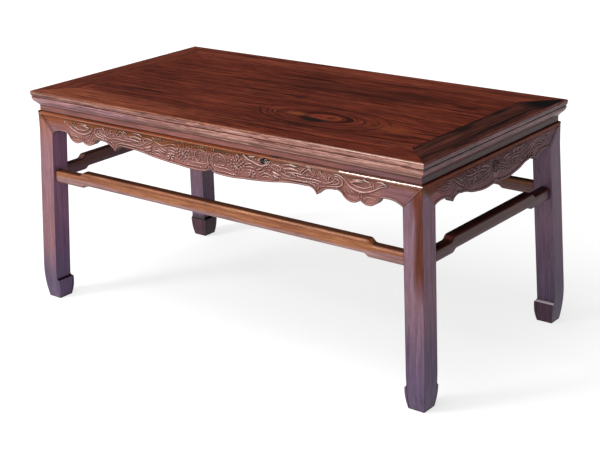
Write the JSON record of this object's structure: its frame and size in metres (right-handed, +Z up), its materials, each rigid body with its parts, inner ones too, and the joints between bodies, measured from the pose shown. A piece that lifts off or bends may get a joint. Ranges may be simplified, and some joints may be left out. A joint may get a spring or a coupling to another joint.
{
  "type": "kang table",
  "caption": "Low waisted hardwood table with a framed floating-panel top, carved scalloped aprons, humpback stretchers and square legs on inward hoof feet.",
  "frame": {"origin": "middle of the footprint, on the floor the hooves stand on", "axes": "+X along the table's length to the right end, +Y from the front long side to the back one, +Z up"},
  "size_m": [0.8404, 0.4424, 0.394],
  "materials": {
    "top_frame": "rubbed oil and wax on dark red-brown rosewood",
    "top_panel": "rubbed oil and wax on dark red-brown rosewood",
    "batten": "planed rosewood without polish",
    "waist": "waxed rosewood",
    "apron": "waxed rosewood, carved in low relief",
    "leg": "waxed rosewood",
    "stretcher": "waxed rosewood"
  },
  "bodies": {
    "root": {"frame_front": "top_frame", "frame_back": "top_frame", "frame_right": "top_frame", "frame_left": "top_frame", "top_panel": "top_panel", "batten_left": "batten", "batten_right": "batten", "waist_front": "waist", "waist_back": "waist", "waist_right": "waist", "waist_left": "waist", "apron_front": "apron", "apron_back": "apron", "apron_right": "apron", "apron_left": "apron", "leg_front_right": "leg", "leg_front_left": "leg", "leg_back_right": "leg", "leg_back_left": "leg", "stretcher_front": "stretcher", "stretcher_back": "stretcher", "stretcher_right": "stretcher", "stretcher_left": "stretcher"}
  },
  "joints": []
}
